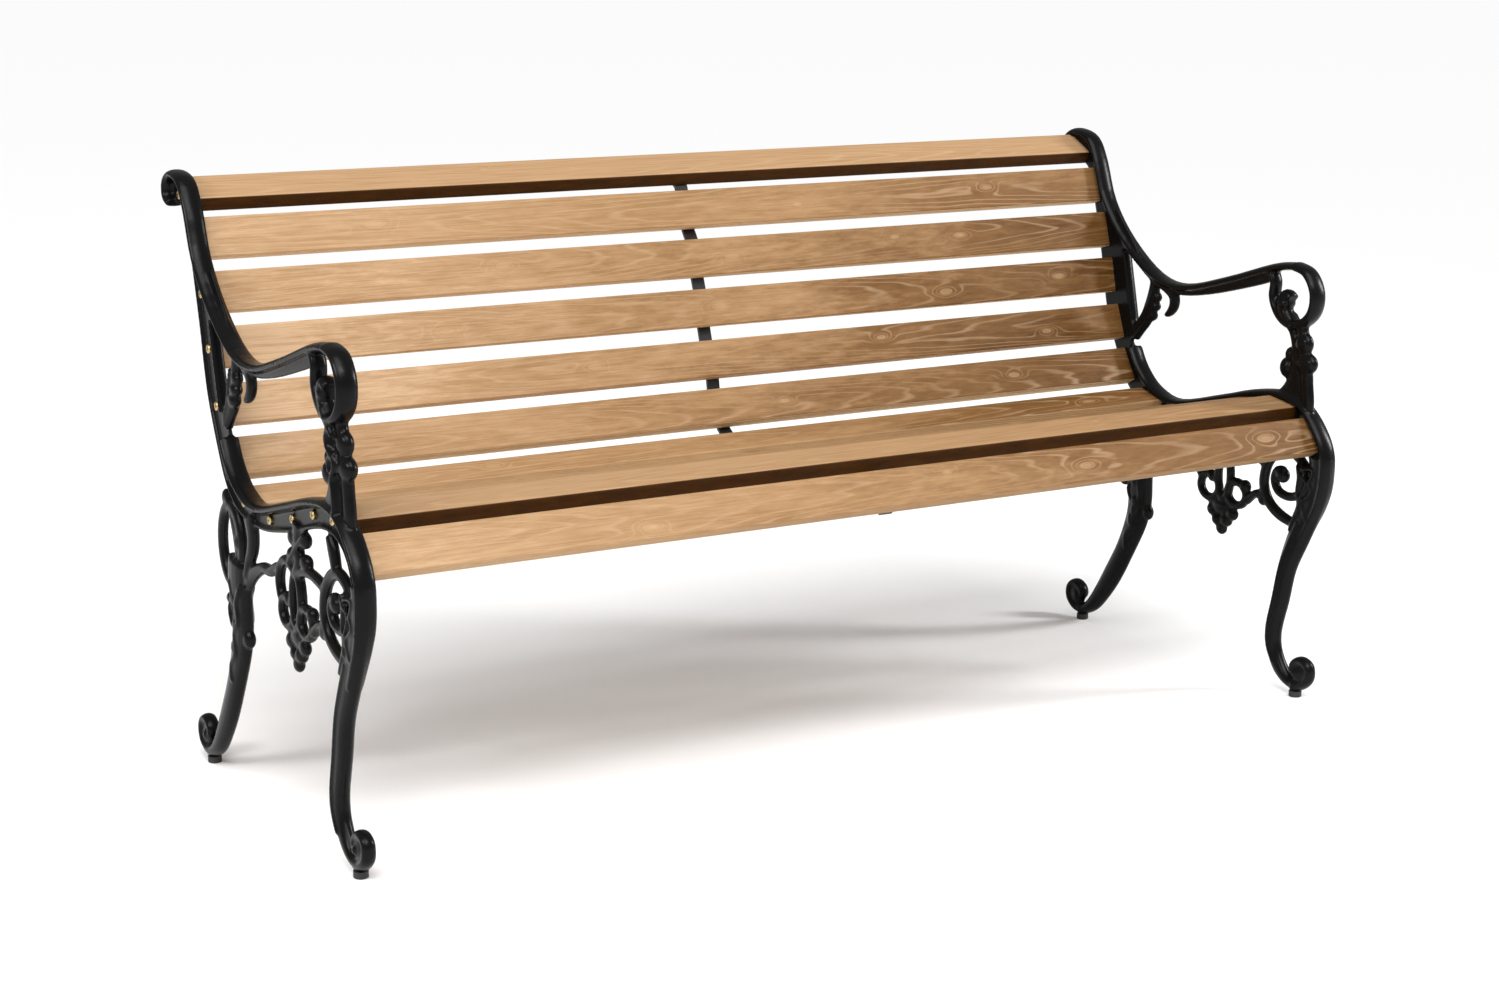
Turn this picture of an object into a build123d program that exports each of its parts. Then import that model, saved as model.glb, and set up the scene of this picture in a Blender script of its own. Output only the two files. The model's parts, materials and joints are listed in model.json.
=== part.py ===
# Garden bench: two cast end frames, twelve timber slats and one steel strap behind them.
# Millimetres. X runs along the bench, the sitter faces -Y, +Z is up.
# The origin is on the ground, at the middle of the bench.
from build123d import *
from math import cos, radians, sin
import os

os.makedirs("parts", exist_ok=True)

# ---- driving dimensions -------------------------------------------------------------
SLAT_LENGTH = 1500.0
SLAT_WIDTH = 55.0
SLAT_THICKNESS = 22.0
SLAT_EDGE_RADIUS = 3.0

WEB_THICKNESS = 5.0          # plate that the slat ends butt against
CAP_INBOARD = 8.0            # how far the front cap overhangs the slat ends
CAP_OUTBOARD = 16.0          # and how far it stands out past the web
CAP_THICKNESS = 8.0
CAP_EDGE = 4.0               # thinner over the slat ends, to clear them
LIP_OUTBOARD = 6.0           # rear and lower lip of the rails
LIP_THICKNESS = 5.0
LEG_OUTBOARD = 13.0
TRIM_OUTBOARD = 5.0          # openwork is flush with the web inside and proud of it outside

SCREW_SHANK = 5.8
SCREW_HOLE = 6.0
SCREW_LENGTH = 52.0
SCREW_HEAD_DIAMETER = 13.0
SCREW_HEAD_HEIGHT = 4.0
SCREW_HEAD_POCKET = 14.0     # clears the head where it comes close to a lip or a cap

STRAP_WIDTH = 20.0
STRAP_THICKNESS = 4.0
STRAP_SCREW_SHANK = 3.8
STRAP_SCREW_HOLE = 4.0
STRAP_SCREW_DEPTH = 14.0
STRAP_HEAD_DIAMETER = 8.0
STRAP_HEAD_HEIGHT = 2.0

PAD_DIAMETER = 19.0
PAD_HEIGHT = 9.0
PAD_STEM_DIAMETER = 8.0
PAD_STEM_HOLE = 8.2
PAD_STEM_LENGTH = 12.0
PAD_BOSS_TOP = 24.0

# Middle of each slat's section (Y, Z), and how steeply its face falls towards the front:
# 0 is level and 90 is upright. The first six make the back, from the top, and the rest
# make the seat, from the rear.
BACK_SLATS = [
    (283.5, 777.5, 28.0),
    (241.0, 722.0, 71.0),
    (212.5, 653.5, 73.5),
    (192.0, 583.0, 77.0),
    (169.5, 510.0, 69.5),
    (143.0, 442.5, 58.5),
]
SEAT_SLATS = [
    (79.0, 397.5, 13.0),
    (-12.0, 392.5, -4.0),
    (-91.0, 410.0, -13.0),
    (-160.5, 429.0, -9.0),
    (-224.0, 434.0, 10.5),
    (-281.0, 399.0, 57.0),
]

FRONT_FOOT_Y = -277.0
REAR_FOOT_Y = 238.0

# ---- stations across one end frame (distance from the middle of the bench) ----------
WEB_IN = SLAT_LENGTH / 2
WEB_OUT = WEB_IN + WEB_THICKNESS
CAP_IN = WEB_IN - CAP_INBOARD
CAP_OUT = WEB_OUT + CAP_OUTBOARD
LIP_OUT = WEB_OUT + LIP_OUTBOARD
LEG_OUT = WEB_OUT + LEG_OUTBOARD
TRIM_OUT = WEB_OUT + TRIM_OUTBOARD
LEG_MIDDLE = (CAP_IN + LEG_OUT) / 2

# ---- side outlines of the end frame, as (Y, Z) ---------------------------------------
# Crest of the upper cap: from the armrest scroll back along the arm and up to the head.
ARM_CREST = [(-236, 653), (-188, 645), (-87, 614), (9, 591), (78, 600), (150, 646),
             (201, 702), (227, 764), (251, 801), (288, 812)]
HEAD_REAR = [(288, 812), (319, 798), (325, 770)]
HEAD_TIP = [(325, 770), (318, 760), (300, 757)]
# Underside of the arm, from the scroll back to the top of the triangular gap.
ARM_UNDERSIDE = [(-180, 620), (-144, 607), (-44, 582), (32, 573), (82, 584), (118, 604), (156, 626)]
# Rear edge of the back rail, from the head down, running on below the seat to the knee.
RAIL_REAR = [(262, 757), (241, 700), (217, 610), (207, 560), (194, 514), (164, 451),
             (138, 410), (102, 385), (58, 375), (15, 374), (-22, 378), (-100, 394),
             (-170, 413), (-215, 418), (-248, 410), (-269, 393), (-280, 372), (-286, 346)]
# Crest of the lower cap: up the sitting side of the rail, along the seat and over the knee.
SEAT_CREST = [(125, 478), (105, 447), (70, 420), (14, 409), (-87, 433), (-150, 450),
              (-205, 459), (-240, 457), (-264, 449), (-286, 433), (-303, 415), (-316, 396),
              (-324, 374), (-325, 350)]
TRIANGLE_TOP = (156, 626)
TRIANGLE_FOOT = (126, 512)

FRONT_SCROLL = (-283, 38)
REAR_SCROLL = (250, 39)
FRONT_LEG_FRONT = [(-325, 350), (-318, 305), (-303, 268), (-268, 195), (-252, 145),
                   (-239, 100), (-238, 80), (-250, 50)]
FRONT_LEG_REAR = [(-268, 13), (-242, 22), (-222, 42), (-212, 65), (-209, 92), (-218, 143),
                  (-231, 195), (-247, 245), (-262, 270), (-281, 290), (-282, 322), (-286, 346)]
FRONT_LEG_ROOT = [(-292, 362), (-317, 364)]     # how far the leg is carried up into the rail
REAR_LEG_FRONT = [(66, 303), (76, 270), (75, 230), (84, 195), (114, 144), (143, 94),
                  (173, 56), (196, 30), (222, 12)]
REAR_LEG_REAR = [(228, 44), (209, 58), (183, 94), (151, 144), (132, 195), (129, 230),
                 (133, 262), (150, 290)]

BALUSTER = [(-283, 444), (-279, 470), (-270, 492), (-284, 505), (-280, 515), (-266, 520),
            (-273, 533), (-262, 557), (-240, 557), (-226, 535), (-231, 512), (-210, 508),
            (-200, 497), (-205, 487), (-218, 482), (-221, 468), (-208, 455)]
CLAW_LEAF = [(28, 576), (30, 560), (48, 537), (55, 534), (54, 551), (63, 561), (75, 562),
             (86, 554), (87, 545), (82, 538), (88, 530), (87, 524), (102, 519), (118, 497),
             (122, 482), (137, 477), (140, 500), (129, 514), (110, 549), (98, 566), (84, 588)]
STALK = [(-134, 408), (-138, 391), (-128, 380), (-145, 365), (-128, 352), (-98, 346),
         (-70, 354), (-78, 370), (-70, 378), (-72, 392), (-90, 402)]
PENDANT = [(-130, 259), (-128, 247), (-118, 240), (-115, 227), (-105, 216), (-95, 214),
           (-87, 219), (-85, 229), (-75, 234), (-74, 242), (-62, 247), (-62, 259), (-96, 276)]
REAR_LEAF = [(32, 378), (60, 381), (100, 384), (104, 340), (98, 296), (66, 298), (48, 330)]
SPUR = [(118, 276), (152, 254), (124, 246)]
NOSE_CURL = [(-287, 342), (-276, 322), (-258, 306), (-238, 302), (-217, 309), (-209, 325),
             (-216, 339), (-230, 342)]
FRONT_ARCH = [(-186, 342), (-149, 350), (-120, 348), (-98, 338)]
REAR_ARCH = [(-92, 345), (-68, 353), (-48, 349), (-32, 337), (-14, 328), (6, 329),
             (26, 322), (46, 310), (74, 292)]


def outline(*edges):
    """Closed face from edges that run end to end."""
    return make_face(edges)


def strip(points, thickness, taper=1.0, stations=40):
    """Face between a smooth curve and a second one, to the right of its direction."""
    curve = Spline(*points)
    inner = []
    for step in range(stations + 1):
        along = step / stations
        here = curve @ along
        heading = curve % along
        depth = thickness * (1 + (taper - 1) * along)
        inner.append((here.X + heading.Y * depth, here.Y - heading.X * depth))
    return outline(
        curve,
        Line(points[-1], inner[-1]),
        Spline(*reversed(inner)),
        Line(inner[0], points[0]),
    )


def ribbon(points, width, stations=24):
    """Face of even width with the smooth curve down its middle."""
    curve = Spline(*points)
    sides = ([], [])
    for step in range(stations + 1):
        here = curve @ (step / stations)
        heading = curve % (step / stations)
        for side, sign in zip(sides, (1, -1)):
            offset = sign * width / 2
            side.append((here.X - heading.Y * offset, here.Y + heading.X * offset))
    left, right = sides
    return outline(
        Spline(*left),
        Line(left[-1], right[-1]),
        Spline(*reversed(right)),
        Line(right[0], left[0]),
    )


def ring(centre, outer, inner):
    """Oval ring from its outer and inner half sizes."""
    return Pos(*centre) * (Ellipse(*outer) - Ellipse(*inner))


def disc(centre, radius):
    return Pos(*centre) * Circle(radius)


def across(face, near, far):
    """Extrude a side outline from one station across the frame to another."""
    return Plane.YZ * (Pos(0, 0, near) * extrude(face, amount=far - near))


def web():
    """The whole plate: arm, head, back rail and seat rail, round the triangular gap."""
    return outline(
        Spline(*ARM_CREST),
        ThreePointArc(*HEAD_REAR),
        ThreePointArc(*HEAD_TIP),
        Line(HEAD_TIP[-1], RAIL_REAR[0]),
        Spline(*RAIL_REAR),
        Line(RAIL_REAR[-1], SEAT_CREST[-1]),
        Spline(*reversed(SEAT_CREST)),
        Line(SEAT_CREST[0], TRIANGLE_FOOT),
        Line(TRIANGLE_FOOT, TRIANGLE_TOP),
        Spline(*reversed(ARM_UNDERSIDE)),
        Line(ARM_UNDERSIDE[0], ARM_CREST[0]),
    )


def head_cap():
    """Cap carried round the back of the rolled head, rooted in the end of the arm's cap."""
    inset = CAP_THICKNESS
    root = (276, 812 - inset)
    return outline(
        ThreePointArc(*HEAD_REAR),
        ThreePointArc(*HEAD_TIP),
        Line((300, 757), (300, 757 + inset)),
        ThreePointArc((300, 757 + inset), (313, 768), (317, 776)),
        ThreePointArc((317, 776), (310, 795), (288, 812 - inset)),
        Polyline((288, 812 - inset), root, (288, 812)),
    )


def front_leg():
    return outline(
        Spline(*FRONT_LEG_FRONT),
        Polyline(FRONT_LEG_FRONT[-1], FRONT_SCROLL, FRONT_LEG_REAR[0]),
        Spline(*FRONT_LEG_REAR),
        Polyline(FRONT_LEG_REAR[-1], *FRONT_LEG_ROOT, FRONT_LEG_FRONT[0]),
    )


def rear_leg():
    return outline(
        Spline(*REAR_LEG_FRONT),
        Polyline(REAR_LEG_FRONT[-1], REAR_SCROLL, REAR_LEG_REAR[0]),
        Spline(*REAR_LEG_REAR),
        Line(REAR_LEG_REAR[-1], REAR_LEG_FRONT[0]),
    )


def openwork():
    """Side outlines of the cast ornament between the legs, under the seat rail."""
    return [
        ring((-237, 320), (58, 58), (43, 43)),
        ring((-235, 397), (25, 25), (9, 9)),
        ribbon(NOSE_CURL, 9),
        disc((-226, 331), 11),
        disc((-186, 284), 10),
        ring((-98, 306), (19, 42), (9, 28)),
        ring((-66, 285), (27, 24), (16, 12)),
        ring((-127, 283), (27, 23), (15, 11)),
        ribbon([(-186, 296), (-168, 292), (-148, 290)], 9),
        ribbon([(-44, 300), (-36, 318), (-24, 334)], 8),
        ribbon(FRONT_ARCH, 10),
        ribbon(REAR_ARCH, 10),
        outline(Polyline(*STALK, close=True)),
        outline(Polyline(*PENDANT, close=True)),
        outline(Polyline(*REAR_LEAF, close=True)),
        outline(Polyline(*SPUR, close=True)),
        ring((131, 331), (46, 61), (33, 46)),
        disc((101, 338), 15),
        disc((146, 392), 12),
    ]


def screw_points():
    return [(y, z) for y, z, _ in BACK_SLATS + SEAT_SLATS]


def end_frame():
    """The casting at the +X end, as one solid."""
    pieces = [
        across(web(), WEB_IN, WEB_OUT),
        across(strip(ARM_CREST, CAP_THICKNESS), WEB_IN, CAP_OUT),
        across(strip(ARM_CREST, CAP_EDGE), CAP_IN, WEB_IN),
        across(head_cap(), CAP_IN, CAP_OUT),
        across(strip(SEAT_CREST[::-1], CAP_THICKNESS), WEB_IN, CAP_OUT),
        across(strip(SEAT_CREST[::-1], CAP_EDGE), CAP_IN, WEB_IN),
        across(strip(RAIL_REAR, LIP_THICKNESS), WEB_IN, LIP_OUT),
        across(ring((-236, 603), (50, 50), (34, 33)), CAP_IN, CAP_OUT),
        across(disc((-213, 587), 17), WEB_IN, LEG_OUT),
        across(disc((-236, 552), 12), WEB_IN, LEG_OUT),
        across(outline(Polyline(*BALUSTER, close=True)), CAP_IN, LEG_OUT),
        across(outline(Polyline(*CLAW_LEAF, close=True)), WEB_IN, TRIM_OUT),
        across(front_leg(), CAP_IN, LEG_OUT),
        across(disc(FRONT_SCROLL, 27), CAP_IN, LEG_OUT),
        across(rear_leg(), CAP_IN, LEG_OUT),
        across(disc(REAR_SCROLL, 28), CAP_IN, LEG_OUT),
    ]
    pieces += [across(face, WEB_IN, TRIM_OUT) for face in openwork()]
    for foot_y in (FRONT_FOOT_Y, REAR_FOOT_Y):
        boss = Cylinder(
            PAD_DIAMETER / 2 + 1, PAD_BOSS_TOP - PAD_HEIGHT, align=(Align.CENTER, Align.CENTER, Align.MIN)
        )
        pieces.append(Pos(LEG_MIDDLE, foot_y, PAD_HEIGHT) * boss)

    casting = pieces[0].fuse(*pieces[1:])

    holes = []
    for y, z in screw_points():
        bore = Cylinder(SCREW_HOLE / 2, 3 * WEB_THICKNESS)
        pocket = Cylinder(
            SCREW_HEAD_POCKET / 2, CAP_OUTBOARD, align=(Align.CENTER, Align.CENTER, Align.MIN)
        )
        holes.append(Pos(WEB_OUT, y, z) * Rot(0, 90, 0) * bore)
        holes.append(Pos(WEB_OUT, y, z) * Rot(0, 90, 0) * pocket)
    for foot_y in (FRONT_FOOT_Y, REAR_FOOT_Y):
        socket = Cylinder(
            PAD_STEM_HOLE / 2, PAD_STEM_LENGTH + 1, align=(Align.CENTER, Align.CENTER, Align.MIN)
        )
        holes.append(Pos(LEG_MIDDLE, foot_y, PAD_HEIGHT) * socket)
    return casting.cut(*holes)


def slat(y, z, tilt):
    """One slat with rounded long edges, bored for its end screws and its strap screw."""
    bar = Box(SLAT_LENGTH, SLAT_WIDTH, SLAT_THICKNESS)
    bar = fillet(bar.edges().filter_by(Axis.X), SLAT_EDGE_RADIUS)
    end_bore = Rot(0, 90, 0) * Cylinder(SCREW_HOLE / 2, 2 * SCREW_LENGTH)
    for side in (-1, 1):
        bar -= Pos(side * (SLAT_LENGTH / 2), 0, 0) * end_bore
    strap_bore = Cylinder(STRAP_SCREW_HOLE / 2, 2 * STRAP_SCREW_DEPTH)
    bar -= Pos(0, 0, -SLAT_THICKNESS / 2) * strap_bore
    return Pos(0, y, z) * Rot(tilt, 0, 0) * bar


def slat_screw(y, z):
    """Pan-head screw through the web at the +X end, into the slat's end grain."""
    shank_length = SCREW_LENGTH - 1
    shank = Cylinder(SCREW_SHANK / 2, shank_length, align=(Align.CENTER, Align.CENTER, Align.MAX))
    head = Cylinder(
        SCREW_HEAD_DIAMETER / 2, SCREW_HEAD_HEIGHT, align=(Align.CENTER, Align.CENTER, Align.MIN)
    )
    head = fillet(head.edges().group_by(Axis.Z)[-1], SCREW_HEAD_HEIGHT / 2)
    return Pos(WEB_OUT, y, z) * Rot(0, 90, 0) * (shank + head)


def slat_back_line():
    """Corners of the polyline that lies along the back of every slat, top to front."""
    line = []
    for y, z, tilt in BACK_SLATS + SEAT_SLATS:
        down = Vector(-cos(radians(tilt)), -sin(radians(tilt)))
        out = Vector(-sin(radians(tilt)), cos(radians(tilt)))
        middle = Vector(y, z) - out * (SLAT_THICKNESS / 2)
        reach = down * (SLAT_WIDTH / 2)
        line += [middle - reach, middle + reach]
    return line


def strap():
    """Flat steel bar bent along the backs of the slats, at the middle of the bench."""
    line = slat_back_line()
    behind = []
    for index, corner in enumerate(line):
        before = line[max(index - 1, 0)]
        after = line[min(index + 1, len(line) - 1)]
        spans = [corner - before, after - corner]
        headings = [span.normalized() for span in spans if span.length > 0]
        normals = [Vector(-heading.Y, heading.X) for heading in headings]
        mitre = (normals[0] + normals[-1]).normalized()
        behind.append(corner + mitre * (STRAP_THICKNESS / mitre.dot(normals[0])))
    bar = across(outline(Polyline(*line, *reversed(behind), close=True)), -STRAP_WIDTH / 2, STRAP_WIDTH / 2)
    for y, z, tilt in BACK_SLATS + SEAT_SLATS:
        bore = Cylinder(STRAP_SCREW_HOLE / 2, 4 * SLAT_THICKNESS)
        bar -= Pos(0, y, z) * Rot(tilt, 0, 0) * bore
    return bar


def strap_screw(y, z, tilt):
    """Round-head wood screw from behind, through the strap into one slat."""
    seat = -SLAT_THICKNESS / 2 - STRAP_THICKNESS
    length = STRAP_SCREW_DEPTH - 1 + STRAP_THICKNESS
    shank = Cylinder(STRAP_SCREW_SHANK / 2, length, align=(Align.CENTER, Align.CENTER, Align.MIN))
    head = Cylinder(
        STRAP_HEAD_DIAMETER / 2, STRAP_HEAD_HEIGHT, align=(Align.CENTER, Align.CENTER, Align.MAX)
    )
    return Pos(0, y, z) * Rot(tilt, 0, 0) * Pos(0, 0, seat) * (shank + head)


def foot_pad(x, y):
    """Round glide with a stem that is driven up into the foot."""
    pad = Cylinder(PAD_DIAMETER / 2, PAD_HEIGHT, align=(Align.CENTER, Align.CENTER, Align.MIN))
    pad = chamfer(pad.edges().group_by(Axis.Z)[0], 1.0)
    stem = Cylinder(
        PAD_STEM_DIAMETER / 2, PAD_HEIGHT + PAD_STEM_LENGTH, align=(Align.CENTER, Align.CENTER, Align.MIN)
    )
    return Pos(x, y, 0) * (pad + stem)


def save(name, shape):
    export_step(shape, f"parts/{name}.step")
    print(name, "written")


def main():
    right_frame = end_frame()
    right_screws = Compound([slat_screw(y, z) for y, z in screw_points()])
    save("end_frame_right", right_frame)
    save("end_frame_left", mirror(right_frame, about=Plane.YZ))
    save("slat_screws_right", right_screws)
    save("slat_screws_left", mirror(right_screws, about=Plane.YZ))
    for number, place in enumerate(BACK_SLATS, 1):
        save(f"back_slat_{number}", slat(*place))
    for number, place in enumerate(SEAT_SLATS, 1):
        save(f"seat_slat_{number}", slat(*place))
    save("centre_strap", strap())
    save("strap_screws", Compound([strap_screw(*place) for place in BACK_SLATS + SEAT_SLATS]))
    for side, x in (("left", -LEG_MIDDLE), ("right", LEG_MIDDLE)):
        save(f"front_foot_pad_{side}", foot_pad(x, FRONT_FOOT_Y))
        save(f"rear_foot_pad_{side}", foot_pad(x, REAR_FOOT_Y))


main()
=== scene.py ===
# %% [markdown]
# # A garden bench with cast end frames
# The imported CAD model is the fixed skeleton: it says where every slat, screw and casting is.
# Here the bench gets its looks. The slats, the strap and the glides already have the right
# shape, so they only get better finishes. The end frames and the screws are plain stand-ins in
# the CAD, so detailed pieces are modelled around them and replace them.

# %% Load the frame
import bpy
import json
import math
from mathutils import Matrix, Vector

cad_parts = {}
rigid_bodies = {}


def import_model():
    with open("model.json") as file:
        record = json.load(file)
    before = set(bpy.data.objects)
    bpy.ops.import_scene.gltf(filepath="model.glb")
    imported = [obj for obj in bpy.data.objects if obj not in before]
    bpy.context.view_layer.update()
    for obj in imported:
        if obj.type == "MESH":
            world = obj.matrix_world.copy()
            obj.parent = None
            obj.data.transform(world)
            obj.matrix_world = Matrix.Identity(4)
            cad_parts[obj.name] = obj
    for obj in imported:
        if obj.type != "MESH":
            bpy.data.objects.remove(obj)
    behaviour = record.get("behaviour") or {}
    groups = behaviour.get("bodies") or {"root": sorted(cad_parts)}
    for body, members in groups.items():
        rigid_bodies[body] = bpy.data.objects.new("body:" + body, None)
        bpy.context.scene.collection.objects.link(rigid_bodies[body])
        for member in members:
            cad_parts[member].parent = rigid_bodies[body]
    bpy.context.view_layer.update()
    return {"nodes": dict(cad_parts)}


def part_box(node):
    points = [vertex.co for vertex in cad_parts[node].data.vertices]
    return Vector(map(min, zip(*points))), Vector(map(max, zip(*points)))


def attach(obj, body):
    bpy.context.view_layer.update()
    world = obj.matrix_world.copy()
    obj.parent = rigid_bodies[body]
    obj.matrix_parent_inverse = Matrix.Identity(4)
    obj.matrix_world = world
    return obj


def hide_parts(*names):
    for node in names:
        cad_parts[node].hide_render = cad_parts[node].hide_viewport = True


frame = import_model()

# %% [markdown]
# An operator acts on everything that is selected, so each step starts with nothing selected.
# A few short helpers keep the modelling steps readable. Sizes are written in millimetres, as a
# maker would, and turned into metres once.

# %% Small helpers for modelling
MM = 0.001


def select_only(*objects):
    if bpy.context.mode != "OBJECT":
        bpy.ops.object.mode_set(mode="OBJECT")
    bpy.ops.object.select_all(action="DESELECT")
    for each in objects:
        each.select_set(True)
    bpy.context.view_layer.objects.active = objects[-1] if objects else None


def bake_place(piece):
    """Put the object's place into its mesh, so that it sits unturned at the origin."""
    select_only(piece)
    bpy.ops.object.transform_apply(location=True, rotation=True, scale=True)


def apply_modifier(piece, kind, **settings):
    select_only(piece)
    modifier = piece.modifiers.new(kind.title(), kind)
    for name, value in settings.items():
        setattr(modifier, name, value)
    bpy.ops.object.modifier_apply(modifier=modifier.name)


def outward(piece):
    """Turn all faces to point outwards."""
    select_only(piece)
    bpy.ops.object.mode_set(mode="EDIT")
    bpy.ops.mesh.select_all(action="SELECT")
    bpy.ops.mesh.normals_make_consistent(inside=False)
    bpy.ops.object.mode_set(mode="OBJECT")


print("helpers ready")

# %% [markdown]
# ## Sweeping a cast bar
# Nearly everything in the end frame is a bar that follows a curve: the rails, the arm, the legs
# and the scrolls. A curve object with a bevel would make one, but its section could only be
# scaled, not flattened. Instead the section is a circle that is extruded from station to
# station. At each station it is moved, turned to the new heading and stretched, so one tool
# makes round stalks, flat caps and legs that taper.
# The stations lie on a Catmull-Rom curve, which passes through every point that is given.

# %% Stations on a smooth curve
def smooth_points(points, closed=False, steps=4):
    """Points on a smooth curve through the given ones; each is a tuple of any length."""
    count = len(points)
    spans = count if closed else count - 1
    result = []
    for span in range(spans):
        around = []
        for offset in (-1, 0, 1, 2):
            index = span + offset
            index = index % count if closed else min(max(index, 0), count - 1)
            around.append(points[index])
        for step in range(steps):
            t = step / steps
            weights = (
                (-t + 2 * t * t - t ** 3) / 2,
                (2 - 5 * t * t + 3 * t ** 3) / 2,
                (t + 4 * t * t - 3 * t ** 3) / 2,
                (-t * t + t ** 3) / 2,
            )
            result.append(tuple(
                sum(w * p[axis] for w, p in zip(weights, around))
                for axis in range(len(points[0]))
            ))
    if not closed:
        result.append(tuple(points[-1]))
    return result


# %% Sweep a section along stations
def sweep(stations, near, far, sides=12):
    """A bar through stations (y, z, half width), from one place across the frame to another.

    near and far are its inner and outer faces, in millimetres from the middle of the bench,
    or functions of the distance along the bar from 0 to 1.
    """
    near_at = near if callable(near) else (lambda along: near)
    far_at = far if callable(far) else (lambda along: far)
    last = len(stations) - 1

    def heading(index):
        a, b = stations[max(index - 1, 0)], stations[min(index + 1, last)]
        return math.atan2(b[1] - a[1], b[0] - a[0])

    def size(index):
        along = index / last
        return (far_at(along) - near_at(along)) / 2 * MM, stations[index][2] * MM

    def place(index):
        along = index / last
        y, z, _ = stations[index]
        return Vector(((near_at(along) + far_at(along)) / 2, y, z)) * MM

    deep, wide = size(0)
    if sides == 4:
        bpy.ops.mesh.primitive_plane_add(size=2.0, location=place(0))
    else:
        bpy.ops.mesh.primitive_circle_add(
            vertices=sides, radius=1.0, fill_type="NGON", location=place(0))
    piece = bpy.context.object
    piece.scale = (deep, wide, 1)
    piece.rotation_euler = (heading(0) - math.pi / 2, 0, 0)   # its normal looks along the bar
    bake_place(piece)
    bpy.ops.object.mode_set(mode="EDIT")
    bpy.ops.mesh.select_all(action="SELECT")
    for index in range(1, last + 1):
        before, here = place(index - 1), place(index)
        bpy.ops.mesh.extrude_region_move(TRANSFORM_OT_translate={"value": here - before})
        turn = (heading(index) - heading(index - 1) + math.pi) % (2 * math.pi) - math.pi
        bpy.ops.transform.rotate(
            value=-turn, orient_axis="X", orient_type="GLOBAL", center_override=here)
        (old_deep, old_wide), (deep, wide) = size(index - 1), size(index)
        stretch = (deep / old_deep, wide / old_wide, wide / old_wide)
        bpy.ops.transform.resize(value=stretch, orient_type="GLOBAL", center_override=here)
    bpy.ops.object.mode_set(mode="OBJECT")
    return piece


select_only()
trial = sweep([(0, 0, 10), (30, 0, 10), (60, 20, 6), (70, 60, 6)], 0, 20)
outward(trial)
print("trial bar", [round(d / MM, 1) for d in trial.dimensions], len(trial.data.polygons), "faces")
bpy.data.objects.remove(trial)

# %% [markdown]
# Some bars run beside a line that is known better than their own middle, such as a cap under its
# crest. Shifting a line sideways gives the middle. Buds and berries are spheres, flattened and
# placed; they only look like castings once everything is melted together further down.

# %% Lines beside a line, ovals and buds
def beside(points, distance):
    """The line moved sideways by a distance, to the right of the way it runs in (y, z)."""
    moved = []
    for index, point in enumerate(points):
        a, b = points[max(index - 1, 0)], points[min(index + 1, len(points) - 1)]
        length = math.hypot(b[0] - a[0], b[1] - a[1])
        moved.append((point[0] + (b[1] - a[1]) / length * distance,
                      point[1] - (b[0] - a[0]) / length * distance))
    return moved


def with_width(points, width):
    return [(y, z, width) for y, z in points]


def bar(points, near, far, sides=12, steps=4):
    """A smooth bar through points (y, z, half width)."""
    return sweep(smooth_points(points, steps=steps), near, far, sides)


OVAL_STEPS = 28


def oval(centre, half_y, half_z, width, near, far):
    """A closed oval bar; its ends overlap by a step and are melted together later."""
    turns = [math.tau * step / OVAL_STEPS for step in range(OVAL_STEPS + 2)]
    return sweep([(centre[0] + half_y * math.cos(t), centre[1] + half_z * math.sin(t), width)
                  for t in turns], near, far)


def bud(y, z, half_y, half_z, near, far):
    bpy.ops.mesh.primitive_uv_sphere_add(
        segments=20, ring_count=12, radius=1.0, location=Vector(((near + far) / 2, y, z)) * MM)
    piece = bpy.context.object
    piece.scale = ((far - near) / 2 * MM, half_y * MM, half_z * MM)
    bake_place(piece)
    return piece


print("bar, oval and bud ready")

# %% [markdown]
# ## The right end frame
# The real frame is one sand casting: a plate behind the slat ends with a rounded cap along its
# sitting side and a thin lip along its back, legs that taper down to scrolled feet, an arm that
# ends in a volute, and openwork between the legs. It could be cut from a plate, but every bar has
# its own section. So each bar is swept on its own, all of them are joined, and a voxel remesh
# melts them into one skin with the soft inner corners of a casting.

# %% Stations across the frame, in millimetres from the middle of the bench
low, high = (corner.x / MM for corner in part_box("end_frame_right"))
WEB_THICKNESS, LIP_RISE, OPENWORK_RISE, OPENWORK_INSIDE = 5, 6, 7, 2
SLAT_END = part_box("back_slat_3")[1].x / MM
WEB_FACE = SLAT_END + WEB_THICKNESS
CAP = (low, high)
WEB = (SLAT_END, WEB_FACE)
LIP = (SLAT_END, WEB_FACE + LIP_RISE)
LEG = (low + 1, high - 3)
OPENWORK = (SLAT_END - OPENWORK_INSIDE, WEB_FACE + OPENWORK_RISE)
GLIDE_SOCKET = (745, 765)
print("cap", CAP, "web", WEB, "leg", LEG)

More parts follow.
